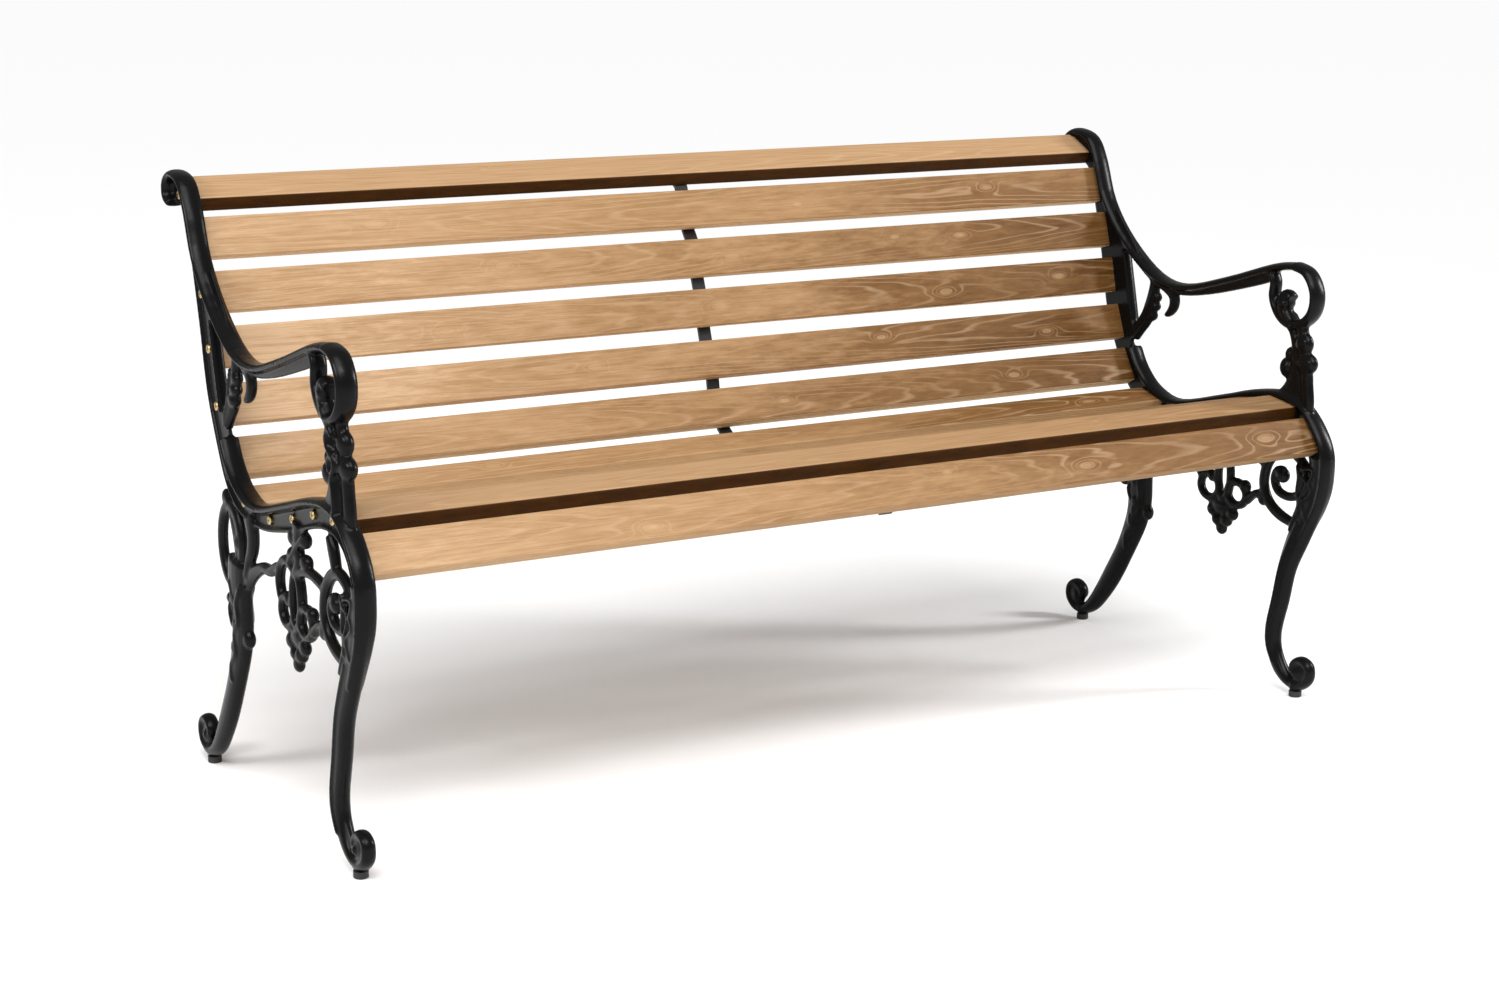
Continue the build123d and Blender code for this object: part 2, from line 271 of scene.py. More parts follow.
# %% Plate behind the slat ends
ARM_CREST = [(-236, 652), (-188, 645), (-87, 614), (9, 591), (78, 600), (150, 646),
             (201, 702), (227, 764), (251, 800), (288, 811)]
RAIL_REAR = [(262, 757), (241, 700), (217, 610), (207, 560), (194, 514), (164, 451), (138, 410),
             (102, 385), (58, 375), (15, 374), (-22, 378), (-100, 394), (-170, 413),
             (-215, 418), (-248, 410), (-269, 393), (-280, 372), (-286, 346)]
SEAT_CREST = [(125, 478), (105, 447), (70, 420), (14, 409), (-87, 433), (-150, 450), (-205, 459),
              (-240, 457), (-264, 449), (-286, 433), (-303, 415), (-316, 396), (-324, 374),
              (-325, 350)]
select_only()
casting = [
    bar([(313, 788, 15), (290, 785, 20), (245, 758, 15), (222, 700, 16), (194, 642, 25),
         (186, 610, 28), (175, 560, 29), (162, 514, 29), (150, 478, 22), (129, 440, 21),
         (86, 402, 19), (15, 391, 13), (-93, 413, 16), (-160, 431, 16), (-210, 438, 16),
         (-256, 429, 15), (-285, 404, 15), (-302, 373, 17), (-306, 350, 16)], *WEB, sides=4),
    bar([(-190, 630, 9), (-144, 615, 9), (-44, 590, 8), (32, 580, 8), (82, 590, 8),
         (118, 612, 9), (154, 642, 13), (192, 680, 15)], *WEB, sides=4),
]
print("plate made of", len(casting), "strips")

# %% Caps and lips
KNEE = [(-322, 322), (-312, 292), (-296, 262), (-282, 236)]
HEAD = [(312, 803), (322, 786), (318, 768), (303, 759)]
RING_CREST = [(-236, 652), (-262, 645), (-280, 625), (-286, 602), (-280, 578), (-262, 560),
              (-240, 553)]


def knee_taper(along):
    """1 where the seat cap ends on the knee, and 0 from a sixth of its length on."""
    return max(0, 1 - along * 6)


casting += [
    bar(with_width(beside(ARM_CREST + HEAD, 6.5), 6.3), *CAP, sides=16),
    bar(with_width(beside((SEAT_CREST + KNEE)[::-1], 6.8), 6.3),
        lambda along: low + 3 * knee_taper(along), lambda along: high - 4 * knee_taper(along),
        sides=16),
    bar(with_width(beside(RING_CREST[::-1], 7), 7.5), *CAP, sides=16),
    bar(with_width(beside(RAIL_REAR, 3), 3), *LIP, sides=8),
    bar([(-182, 625, 9), (-144, 613, 9), (-44, 588, 9), (32, 578, 8.5), (82, 590, 8),
         (112, 611, 5), (146, 638, 4)], *LIP, sides=8),
    bar([(134, 508, 4), (146, 560, 4), (162, 626, 4)], SLAT_END, high - 3, sides=8),
]
print("caps and lips added,", len(casting), "bars")

# %% [markdown]
# ## Legs
# Each leg is an oval bar that is broad at the rail, slims above the floor and rolls into a scroll.
# The scroll is the same bar carried on round a spiral, so leg and foot have no joint.

# %% Legs and scroll feet
casting += [
    bar([(-305, 372, 20), (-307, 345, 18), (-301, 315, 19), (-284, 280, 21), (-267, 245, 21),
         (-246, 195, 17.4), (-235, 143, 16.2), (-224, 95, 14), (-226, 64, 13), (-240, 38, 13),
         (-262, 21, 9.5), (-286, 19, 8), (-303, 32, 7.5), (-303, 51, 7), (-287, 58, 6.5),
         (-272, 50, 6), (-271, 38, 5.5), (-281, 33, 5)],
        lambda along: low + 2 + 3 * along, lambda along: high - 3 - 3 * along, sides=16),
    bar([(104, 316, 30), (107, 292, 33), (103, 262, 28), (102, 230, 27), (109, 195, 24),
         (133, 144, 19.5), (163, 94, 19), (190, 56, 16), (210, 33, 13), (232, 19, 9),
         (254, 19, 8), (270, 32, 7.5), (270, 50, 7), (255, 59, 6.5), (240, 52, 6),
         (238, 41, 5.5), (248, 35, 5)],
        lambda along: low + 2 + 2 * along, lambda along: high - 3 - 3 * along, sides=16),
    bud(-285, 38, 18, 18, low + 5, high - 7),
    bud(-280, 37, 8, 8, low + 1, high - 3),
    bud(252, 39, 18, 18, low + 5, high - 7),
    bud(247, 38, 8, 8, low + 1, high - 3),
    bar([(-277, 11, 10), (-277, 24, 10)], *GLIDE_SOCKET, sides=16),
    bar([(238, 11, 10), (238, 24, 10)], *GLIDE_SOCKET, sides=16),
]
print("legs added,", len(casting), "bars")

# %% [markdown]
# ## Arm scroll and the post under it
# The arm ends in a ring with a small curl inside it. A post of stacked lobes, like a turned
# baluster, stands between the ring and the seat.

# %% Arm scroll and post
casting += [
    bar([(-182, 636, 7), (-191, 618, 7), (-190, 596, 7), (-200, 576, 8), (-216, 563, 8.5),
         (-236, 558, 9)], low + 2, high - 4),
    bar([(-238, 552, 10), (-226, 564, 9.5), (-216, 576, 9.5), (-209, 590, 9.5), (-217, 602, 8.5),
         (-228, 597, 6.5)], low + 2, high - 3),
    bud(-217, 589, 10, 10, low, high - 1),
]
POST_RELIEF = (high - 8, high - 0.5)
casting += [
    bar([(-270, 428, 13), (-272, 450, 12), (-270, 474, 10), (-268, 492, 10), (-263, 520, 8),
         (-257, 548, 9), (-250, 566, 12)], low + 4, high - 9, sides=16, steps=3),
    bud(-268, 506, 20, 16, low + 0.5, high - 6),
    bud(-261, 534, 16, 17, low + 0.5, high - 7),
    bar([(-236, 446, 34), (-240, 462, 24), (-243, 480, 17), (-244, 496, 12), (-244, 512, 10),
         (-240, 534, 9), (-233, 552, 9), (-226, 566, 8)], low + 7, high - 5, sides=16),
    bar([(-254, 446, 4.5), (-253, 470, 4), (-249, 492, 4), (-257, 506, 4), (-254, 519, 4),
         (-241, 513, 4), (-242, 498, 3)], *POST_RELIEF, sides=8),
    bar([(-254, 519, 4), (-238, 528, 4.5), (-236, 543, 4.5), (-247, 551, 4), (-252, 541, 3.5)],
        *POST_RELIEF, sides=8),
    bar([(-247, 551, 4.5), (-234, 559, 4.5), (-222, 573, 4.5)], *POST_RELIEF, sides=8),
    bud(-224, 494, 13, 16, low + 3, high - 3),
    bud(-230, 514, 9, 12, low + 5, high - 4),
]
print("arm scroll added,", len(casting), "bars")

# %% [markdown]
# ## Bracket and openwork
# A leafy bracket ties the back rail to the arm. Between the legs hangs the openwork: a C scroll
# at the knee, a leafy stalk under the seat with a berry pendant below it, a ring on each side,
# an arch to the rear leg, and an oval with a twisted stalk under the back of the seat.

# %% Claw bracket under the arm
def berry(y, z, half_y, half_z, inside=3, outside=8):
    """A bud that stands out of the web by so much on its two sides."""
    return bud(y, z, half_y, half_z, SLAT_END - inside, WEB_FACE + outside)


casting += [
    bar([(130, 490, 9), (118, 508, 12.5), (103, 526, 13.5), (95, 546, 12), (88, 568, 11),
         (84, 590, 10)], SLAT_END - 1, WEB_FACE + 9),
    bar([(80, 588, 10), (58, 581, 11), (40, 570, 11), (37, 555, 10), (44, 543, 7.5), (54, 535, 4)],
        SLAT_END - 1, WEB_FACE + 8),
    berry(95, 530, 14, 10, 0, 12),
    berry(88, 545, 13, 9, 0, 12),
    berry(84, 560, 12, 9, 0, 11),
    bar([(128, 500, 3), (112, 524, 3.5), (104, 548, 3.5), (96, 572, 3)],
        WEB_FACE + 3, WEB_FACE + 11, sides=8),
]
print("bracket added,", len(casting), "bars")

# %% C scroll, rings and arches
casting += [
    bar([(-257, 262, 7.7), (-225, 270, 9.2), (-200, 285, 9.2), (-187, 310, 9.2), (-192, 340, 9.2),
         (-210, 362, 9.2), (-236, 371, 8.7), (-262, 362, 8.2), (-282, 344, 8.7)], *OPENWORK),
    bar([(-290, 334, 8.7), (-277, 320, 7.7), (-260, 306, 7.2), (-240, 301, 7.2), (-219, 306, 7.2),
         (-210, 322, 7.2), (-216, 336, 7.7), (-229, 338, 7.7)], *OPENWORK),
    berry(-227, 331, 13, 12, 4, 9),
    berry(-187, 287, 11, 11, 2, 8),
    bar([(-188, 296, 6.7), (-168, 291, 6.7), (-150, 276, 6.7)], *OPENWORK),
    oval((-98, 307), 14, 35, 6.8, *OPENWORK),
    oval((-66, 286), 21, 19, 6.8, *OPENWORK),
    oval((-128, 284), 21, 18, 6.8, *OPENWORK),
    berry(-72, 301, 9, 9),
    berry(-146, 298, 11, 11),
    bar([(-189, 344, 7.7), (-150, 351, 7.2), (-120, 348, 7.2), (-98, 338, 7.7)], *OPENWORK),
    bar([(-92, 345, 7.7), (-68, 352, 7.7), (-48, 344, 7.7), (-38, 322, 6.7), (-44, 300, 6.7)],
        *OPENWORK),
    bar([(-44, 340, 6.7), (-28, 334, 7.7), (-8, 325, 8.2), (14, 324, 8.2), (38, 316, 9.7),
         (62, 304, 12.7), (80, 290, 15.7)], *OPENWORK),
]
print("scrolls added,", len(casting), "bars")

# %% Leafy stalk, pendant and rear oval
casting += [
    bar([(-110, 408, 19), (-108, 392, 12), (-106, 376, 9), (-108, 362, 11), (-100, 344, 9)],
        *OPENWORK),
    berry(-91, 387, 12, 12),
    berry(-130, 390, 12, 11),
    berry(-86, 362, 13, 12),
    berry(-131, 362, 14, 11),
    bar([(-140, 400, 3), (-120, 384, 4), (-100, 368, 4), (-84, 352, 3)],
        WEB_FACE + 2, WEB_FACE + 10),
    berry(-96, 258, 22, 13, 3, 7),
    berry(-119, 250, 12, 11, 2, 8),
    berry(-74, 250, 12, 11, 2, 8),
    berry(-106, 238, 12, 11, 3, 9),
    berry(-86, 236, 11, 10),
    berry(-96, 224, 11, 11, 2, 8),
    oval((131, 331), 38, 53, 9.5, *OPENWORK),
    bar([(58, 384, 20), (50, 362, 15), (52, 342, 12), (64, 322, 9), (72, 300, 9)],
        SLAT_END - 1, WEB_FACE + 9),
    bar([(146, 394, 11), (126, 380, 8), (118, 364, 9), (108, 344, 13), (104, 322, 11),
         (108, 300, 10)], *OPENWORK),
    berry(101, 340, 12, 14, 3, 9),
    berry(146, 392, 12, 12, 2, 7),
    berry(140, 256, 13, 9, 2, 8),
    berry(80, 213, 10, 13, 3, 9),
    bar([(-212, 414, 7), (-220, 398, 11), (-226, 382, 9), (-230, 366, 6)], *OPENWORK),
    bar([(-264, 354, 5), (-270, 336, 9), (-267, 314, 7), (-272, 294, 9), (-262, 270, 8),
         (-254, 252, 5)], low + 2, high - 2),
]
print("openwork added,", len(casting), "bars")

# %% Raised leaves and veins on the legs
for near, far in ((LEG[1] - 4, high - 1), (low + 1, LEG[0] + 6)):
    casting += [
        bar([(82, 284, 3), (96, 262, 3.5), (92, 236, 3.5), (108, 216, 3), (104, 192, 3.5),
             (124, 170, 3), (124, 147, 2)], near, far, sides=8),
        bar([(120, 286, 3), (112, 268, 3), (122, 246, 3), (112, 226, 3)], near, far, sides=8),
        bud(103, 229, 8, 8, near - 1, far),
        bud(106, 262, 7, 9, near - 1, far),
        bud(112, 196, 7, 10, near - 1, far),
        bar([(-274, 350, 2.5), (-300, 352, 2.5), (-292, 332, 2.5), (-298, 318, 2.5),
             (-280, 300, 2.5), (-290, 276, 2)], near, far, sides=8),
        bar([(-270, 344, 2.5), (-286, 330, 2.5), (-276, 306, 2.5), (-272, 280, 2)],
            near, far, sides=8),
        bar([(-272, 268, 2.5), (-256, 236, 3), (-239, 195, 3), (-228, 143, 3), (-218, 98, 3),
             (-220, 68, 3), (-233, 44, 2.5)], near, far, sides=8),
    ]
print("reliefs added,", len(casting), "bars")

# %% [markdown]
# ## Melting the bars into one casting
# Joined bars still show their crossings. A voxel remesh builds one closed skin round them, and a
# little smoothing rounds the inner corners, as molten iron leaves them. The left frame is the
# mirror image, with its own mesh; mirroring turns faces inside out, so they are set right again.

# %% One skin, then the mirror image
def keep_outer_skin(piece):
    """Delete the small bubbles a remesh can leave inside, and keep the skin of the lowest point."""
    select_only(piece)
    bpy.ops.object.mode_set(mode="EDIT")
    bpy.ops.mesh.select_mode(type="VERT")
    bpy.ops.mesh.select_all(action="DESELECT")
    bpy.ops.object.mode_set(mode="OBJECT")
    min(piece.data.vertices, key=lambda corner: corner.co.z).select = True
    bpy.ops.object.mode_set(mode="EDIT")
    bpy.ops.mesh.select_linked()
    bpy.ops.mesh.select_all(action="INVERT")
    bpy.ops.mesh.delete(type="VERT")
    bpy.ops.object.mode_set(mode="OBJECT")


def melt(name, bars, voxel, smoothing):
    select_only(*bars)
    bpy.ops.object.join()
    piece = bpy.context.object
    piece.name = piece.data.name = name
    outward(piece)
    apply_modifier(piece, "REMESH", mode="VOXEL", voxel_size=voxel * MM, use_smooth_shade=True)
    keep_outer_skin(piece)
    apply_modifier(piece, "SMOOTH", factor=0.5, iterations=smoothing)
    return piece


def triangles(piece):
    return sum(len(face.vertices) - 2 for face in piece.data.polygons)


right_casting = melt("cast_frame_right", casting, voxel=2.3, smoothing=3)
left_casting = right_casting.copy()
left_casting.data = right_casting.data.copy()
left_casting.name = left_casting.data.name = "cast_frame_left"
bpy.context.scene.collection.objects.link(left_casting)
left_casting.scale.x = -1
bake_place(left_casting)
outward(left_casting)
for side, piece in (("right", right_casting), ("left", left_casting)):
    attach(piece, "root")
    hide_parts(f"end_frame_{side}")
    box = [piece.matrix_world @ Vector(c) for c in piece.bound_box]
    for word, pick in (("low", min), ("high", max)):
        print(piece.name, word, [round(pick(c[i] for c in box), 4) for i in range(3)])
    print(piece.name, triangles(piece), "triangles")

# %% [markdown]
# ## The slat screws
# Each slat is held by a pan-head screw at each end, with a cross recess. The head could be left
# a plain disc, but the recess catches the light even at a distance. One screw is modelled: a
# cylinder with its rim bevelled round, a shank, and a cross cut out with a boolean. It is then
# copied to each slat end, every copy turned a little differently, as a hand would leave them.

# %% One screw
def pick_faces(piece, wanted):
    """Leave edit mode open with only the faces selected for which wanted(face) is true."""
    select_only(piece)
    bpy.ops.object.mode_set(mode="EDIT")
    bpy.ops.mesh.select_mode(type="FACE")
    bpy.ops.mesh.select_all(action="DESELECT")
    bpy.ops.object.mode_set(mode="OBJECT")
    for face in piece.data.polygons:
        face.select = wanted(face)
    bpy.ops.object.mode_set(mode="EDIT")


HEAD_RADIUS, HEAD_HEIGHT, HEAD_ROUNDING = 6.1, 3.6, 1.9
SHANK_RADIUS, SHANK_LENGTH, TIP_SHARE = 2.9, 50.0, 0.3
RECESS_LENGTH, RECESS_WIDTH, RECESS_DEPTH = 7.2, 1.5, 1.8
select_only()
bpy.ops.mesh.primitive_cylinder_add(vertices=40, radius=HEAD_RADIUS * MM, depth=HEAD_HEIGHT * MM,
                                    location=(0, 0, HEAD_HEIGHT / 2 * MM))
screw = bpy.context.object
bake_place(screw)
pick_faces(screw, lambda face: face.normal.z > 0.9)
bpy.ops.mesh.bevel(offset=HEAD_ROUNDING * MM, segments=5, affect="EDGES")
bpy.ops.object.mode_set(mode="OBJECT")
pick_faces(screw, lambda face: face.normal.z < -0.9)
bpy.ops.mesh.inset(thickness=(HEAD_RADIUS - SHANK_RADIUS) * MM)
bpy.ops.mesh.extrude_region_move(TRANSFORM_OT_translate={"value": (0, 0, -SHANK_LENGTH * MM)})
bpy.ops.transform.resize(
    value=(TIP_SHARE, TIP_SHARE, 1), center_override=(0, 0, -SHANK_LENGTH * MM))
bpy.ops.object.mode_set(mode="OBJECT")
for quarter in (0, 90):
    bpy.ops.mesh.primitive_cube_add(size=1.0, location=(0, 0, HEAD_HEIGHT * MM))
    blade = bpy.context.object
    blade.scale = (RECESS_LENGTH * MM, RECESS_WIDTH * MM, 2 * RECESS_DEPTH * MM)
    blade.rotation_euler.z = math.radians(quarter)
    bake_place(blade)
    apply_modifier(screw, "BOOLEAN", object=blade, operation="DIFFERENCE", solver="EXACT")
    bpy.data.objects.remove(blade)
select_only(screw)
bpy.ops.object.shade_smooth_by_angle(angle=math.radians(35))
print("screw", triangles(screw), "triangles, length", round(screw.dimensions.z / MM, 1), "mm")

# %% Copy the screw to every slat end
SLATS = [f"back_slat_{n}" for n in range(1, 7)] + [f"seat_slat_{n}" for n in range(1, 7)]
screws = []
for side, sign in (("right", 1), ("left", -1)):
    for number, slat in enumerate(SLATS, 1):
        lowest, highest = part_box(slat)
        middle = (lowest + highest) / 2
        copy = screw.copy()
        copy.data = screw.data.copy()
        copy.name = copy.data.name = f"slat_screw_{side}_{number}"
        bpy.context.scene.collection.objects.link(copy)
        twist = math.radians(number * 37 + 11 * sign)
        copy.matrix_world = (
            Matrix.Translation((sign * WEB_FACE * MM, middle.y, middle.z))
            @ Matrix.Rotation(sign * math.pi / 2, 4, "Y") @ Matrix.Rotation(twist, 4, "Z")
        )
        bake_place(copy)
        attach(copy, "root")
        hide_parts(f"slat_screws_{side}")
        screws.append(copy)
bpy.data.objects.remove(screw)
print(len(screws), "screws placed")

# %% [markdown]
# ## Shader maths that reads like a formula
# A pattern such as wood grain is a formula, and a formula is easier to read than a web of nodes.
# A Wire holds one socket and knows plus, minus, times and power; each makes its Math node. A
# Finish holds one material, and its node method makes any other node.

# %% Wires and finishes
class Wire:
    """One output socket that can be used in a formula."""

    def __init__(self, finish, socket):
        self.finish, self.socket = finish, socket

    def maths(self, operation, first, second):
        return self.finish.node("ShaderNodeMath", {"operation": operation}, {0: first, 1: second})

    def __add__(self, other):
        return self.maths("ADD", self, other)

    def __sub__(self, other):
        return self.maths("SUBTRACT", self, other)

    def __rsub__(self, other):
        return self.maths("SUBTRACT", other, self)

    def __mul__(self, other):
        return self.maths("MULTIPLY", self, other)

    def __pow__(self, other):
        return self.maths("POWER", self, other)

    __radd__, __rmul__ = __add__, __mul__


class Finish:
    """A material, with short ways to make its nodes."""

    def __init__(self, name, **constants):
        self.material = bpy.data.materials.new(name)
        self.material.use_nodes = True
        self.tree = self.material.node_tree
        self.shader = self.tree.nodes["Principled BSDF"]
        for socket, value in constants.items():
            self.shader.inputs[socket.replace("_", " ")].default_value = value

    def node(self, kind, settings=None, values=None, out=0):
        made = self.tree.nodes.new(kind)
        for key, value in (settings or {}).items():
            if key == "stops":
                ramp = made.color_ramp
                while len(ramp.elements) < len(value):
                    ramp.elements.new(0.5)
                for element, (position, colour) in zip(ramp.elements, value):
                    element.position, element.color = position, (*colour, 1)
            else:
                setattr(made, key, value)
        for key, value in (values or {}).items():
            if isinstance(value, Wire):
                self.tree.links.new(value.socket, made.inputs[key])
            else:
                made.inputs[key].default_value = value
        return Wire(self, made.outputs[out])

    def feed(self, **wires):
        for socket, wire in wires.items():
            self.tree.links.new(wire.socket, self.shader.inputs[socket.replace("_", " ")])

    def stretched(self, place, scale):
        return self.node("ShaderNodeVectorMath", {"operation": "MULTIPLY"}, {0: place, 1: scale})

    def noise(self, place, scale=1.0, detail=2.0, roughness=0.5):
        return self.node("ShaderNodeTexNoise", {}, {
            "Vector": place, "Scale": scale, "Detail": detail, "Roughness": roughness})

    def between(self, value, low, high):
        """0 below low, 1 above high, smooth in between."""
        return self.node("ShaderNodeMapRange", {"interpolation_type": "SMOOTHSTEP"},
                         {"Value": value, "From Min": low, "From Max": high})

    def colours(self, factor, first, second):
        return self.node("ShaderNodeMix", {"data_type": "RGBA"},
                         {0: factor, 6: first, 7: second}, out=2)

    def bumps(self, height, depth, strength, under=None):
        values = {"Height": height, "Distance": depth, "Strength": strength}
        if under is not None:
            values["Normal"] = under
        return self.node("ShaderNodeBump", {}, values)


print("shader helpers ready")

# %% [markdown]
# ## Black paint on cast metal
# Satin paint over a sand casting keeps a trace of the sand: fine grains, and slow waves where
# the mould was rammed. Both go into the normal. The gloss changes a little from place to place,
# and the colour hardly at all.

# %% Casting paint
def casting_paint():
    finish = Finish("black_casting_paint", Specular_IOR_Level=0.1)
    place = finish.node("ShaderNodeTexCoord", out="Object")
    grain = finish.noise(place, 620, 3, 0.6)
    waves = finish.noise(place, 70, 2)
    patches = finish.noise(place, 14, 3)
    finish.feed(
        Base_Color=finish.colours(patches, (0.0024, 0.0024, 0.0026, 1), (0.0052, 0.005, 0.0049, 1)),
        Roughness=0.17 + patches * 0.12 + grain * 0.06,
        Normal=finish.bumps(grain, 0.0002, 0.1, finish.bumps(waves, 0.0008, 0.12)),
    )
    return finish.material


paint = casting_paint()
for piece in (right_casting, left_casting):
    piece.data.materials.clear()
    piece.data.materials.append(paint)
print("paint nodes", len(paint.node_tree.nodes))

# %% [markdown]
# ## Stained softwood
# Growth rings are cylinders round the heart of the tree. A slat is a flat cut through them, so
# the distance from a far-off heart line gives the rings, and a heart that leans along the slat
# gives the long pointed arches of flat-sawn boards. Knots push the rings aside. The stain sinks
# into the soft early wood and leaves the hard late wood paler, so the lines are light. Each slat
# has its own heart and knots, because no two boards are the same. Its tone is blotchy stain with
# painted shade over it: each slat darkens towards its right end, as light falls from the left,
# and its own tone offset is partly the board's and partly painted light. The front long edge face
# is painted too: painted shade on the top back slat and the fifth seat slat, a painted highlight
# on the others. Patterns are written in metres, as Object coordinates are. TILTS says how far each
# slat is turned from level, in degrees.

# %% Slat places
TILTS = [28, 71, 73.5, 77, 69.5, 58.5, 13, -4, -13, -9, 10.5, 57]
STEEP = 58
HALF_LENGTH = 0.75


def slat_place(finish, slat, tilt):
    """Position on one slat: along it, across its face, and through it."""
    lowest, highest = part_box(slat)
    place = finish.node("ShaderNodeTexCoord", out="Object")
    return finish.node("ShaderNodeMapping", {"vector_type": "TEXTURE"}, {
        "Vector": place, "Location": (lowest + highest) / 2,
        "Rotation": (math.radians(tilt), 0, 0)})


# %% Pine with a warm stain
RING_SPACING = 0.0027
KNOT_HALF_LENGTH, KNOT_HALF_WIDTH = 0.019, 0.0072
# Stain colours from pale to dark; the same ramp paints the stain's blotches and the painted shade
# that darkens each slat towards its right end, as light falls from the left.
STAIN_AND_SHADE_RAMP = [(0.0, (0.5, 0.335, 0.2)), (0.16, (0.4, 0.25, 0.135)), (0.42, (0.31, 0.18, 0.085)),
         (0.7, (0.158, 0.078, 0.027)), (1.0, (0.072, 0.027, 0.003))]
FIBRE_COLOUR, LATE_WOOD_COLOUR = (0.17, 0.08, 0.022, 1), (0.5, 0.345, 0.21, 1)
KNOT_COLOUR = (0.5, 0.33, 0.18, 1)
# Painted light on the front long edge face: the first pair of colours is painted shade on the top
# back slat and the fifth seat slat, the second a painted highlight on the other slats; the band
# below marks that face.
PAINTED_SHADE_EDGE = ((0.012, 0.0035, 0.0003, 1), (0.075, 0.026, 0.002, 1))
PAINTED_HIGHLIGHT_EDGE = ((0.6, 0.36, 0.17, 1), (0.8, 0.54, 0.28, 1))
PAINTED_LIGHT_BAND = (-0.0271, -0.0262)


def stained_pine(slat, number, tilt, start, stain_and_shade_depth, painted_shade_front, knots):
    finish = Finish(f"stained_pine_{slat}", Specular_IOR_Level=0.12)
    place = slat_place(finish, slat, tilt)
    along, over, through = (finish.node("ShaderNodeSeparateXYZ", values={0: place}, out=axis)
                            for axis in range(3))
    shifted = finish.node("ShaderNodeVectorMath", {"operation": "ADD"},
                          {0: place, 1: (number * 3.7, number * 1.3, number * 2.1)})
    warp = finish.noise(finish.stretched(shifted, (2.1, 26, 26)), 1, 2)
    ripple = finish.noise(finish.stretched(shifted, (11, 90, 90)), 1, 2)
    fibre = finish.noise(finish.stretched(shifted, (9, 430, 430)), 1, 4, 0.65)
    blotch = finish.noise(finish.stretched(shifted, (3.5, 16, 16)), 1, 3)
    heart_over = ((number * 7) % 5 - 2) * 0.006
    heart_depth = 0.028 + (number * 5 % 4) * 0.006
    lean = (0.024, -0.019, 0.03)[number % 3]
    sideways = over - heart_over
    depth = through + heart_depth
    radius = (sideways * sideways + depth * depth) ** 0.5
    rings = radius + along * lean + warp * 0.013 + ripple * 0.0015
    knot_core = 0.0
    for knot_along, knot_over, size in knots:
        near_along = (along - knot_along) * (1 / (KNOT_HALF_LENGTH * size))
        near_over = (over - knot_over) * (1 / (KNOT_HALF_WIDTH * size))
        closeness = finish.node("ShaderNodeMath", {"operation": "EXPONENT"},
                                {0: (near_along * near_along + near_over * near_over) * -1.0})
        rings = rings + closeness * 0.009
        knot_core = knot_core + finish.between(closeness, 0.62, 0.98)
    phase = finish.node("ShaderNodeMath", {"operation": "FRACT"}, {0: rings * (1 / RING_SPACING)})
    late_wood = finish.between(phase, 0.6, 0.8) * (1 - finish.between(phase, 0.82, 0.96))
    visible = finish.between(blotch, 0.36, 0.66) * 0.75 + 0.15
    mottle = finish.noise(finish.stretched(shifted, (26, 120, 120)), 1, 4, 0.65)
    # Painted shade: each slat darkens from its left end to its right end, as light falls from the
    # left; blotch and mottle are the stain's own.
    painted_shade_to_right = (along + HALF_LENGTH) * (1 / (2 * HALF_LENGTH))
    shade = start + (painted_shade_to_right + blotch * 0.7 - 0.37 + (mottle - 0.5) * 0.6) * stain_and_shade_depth
    base = finish.node("ShaderNodeValToRGB", {"stops": STAIN_AND_SHADE_RAMP}, {0: shade})
    with_fibre = finish.colours(finish.between(fibre, 0.42, 0.68) * 0.34, base, FIBRE_COLOUR)
    with_rings = finish.colours(late_wood * visible * 0.35, with_fibre, LATE_WOOD_COLOUR)
    with_knots = finish.colours(knot_core * 0.3, with_rings, KNOT_COLOUR)
    # Painted light on the front long edge face: painted shade on the two slats flagged for a dark
    # front, a painted highlight elsewhere, strong on steep slats and faint on flat ones.
    painted_light_edge = 1 - finish.between(over, *PAINTED_LIGHT_BAND)
    painted_light_colour = finish.colours(mottle, *(PAINTED_SHADE_EDGE if painted_shade_front else PAINTED_HIGHLIGHT_EDGE))
    painted_light_strength = 1.0 if painted_shade_front else (0.9 if abs(tilt) > STEEP else 0.15)
    finish.feed(
        Base_Color=finish.colours(painted_light_edge * painted_light_strength, with_knots, painted_light_colour),
        Roughness=0.5 - late_wood * 0.08 + fibre * 0.12,
        Normal=finish.bumps(fibre, 0.00025, 0.3, finish.bumps(late_wood * visible, 0.00035, 0.35)),
    )
    return finish.material


# %% A finish for every slat
KNOTS = [
    [(-0.31, 0.008, 0.7)],
    [(-0.50, 0.004, 1.5), (0.18, -0.004, 0.8), (0.53, 0.005, 1.0)],
    [(-0.32, 0.008, 1.2), (0.05, -0.002, 1.2), (0.34, 0.01, 0.9), (0.46, 0.006, 1.1)],
    [(-0.42, -0.004, 1.3), (0.02, 0.0, 1.4), (0.42, -0.006, 1.2), (0.64, 0.004, 1.3)],
    [(-0.2, 0.004, 1.0), (0.29, 0.008, 0.9), (0.6, -0.006, 1.0)],
    [(0.1, -0.003, 0.9), (0.52, 0.0, 1.1)],
    [(-0.4, 0.004, 1.0), (0.62, -0.004, 1.2)],
    [(-0.1, 0.006, 1.0)],
    [(0.35, -0.004, 1.1)],
    [(-0.55, 0.0, 1.0), (0.2, 0.006, 0.8)],
    [(0.4, 0.006, 0.7)],
    [(-0.36, -0.012, 1.2), (0.1, 0.012, 0.8), (0.33, -0.004, 1.3), (0.66, 0.002, 1.6)],
]
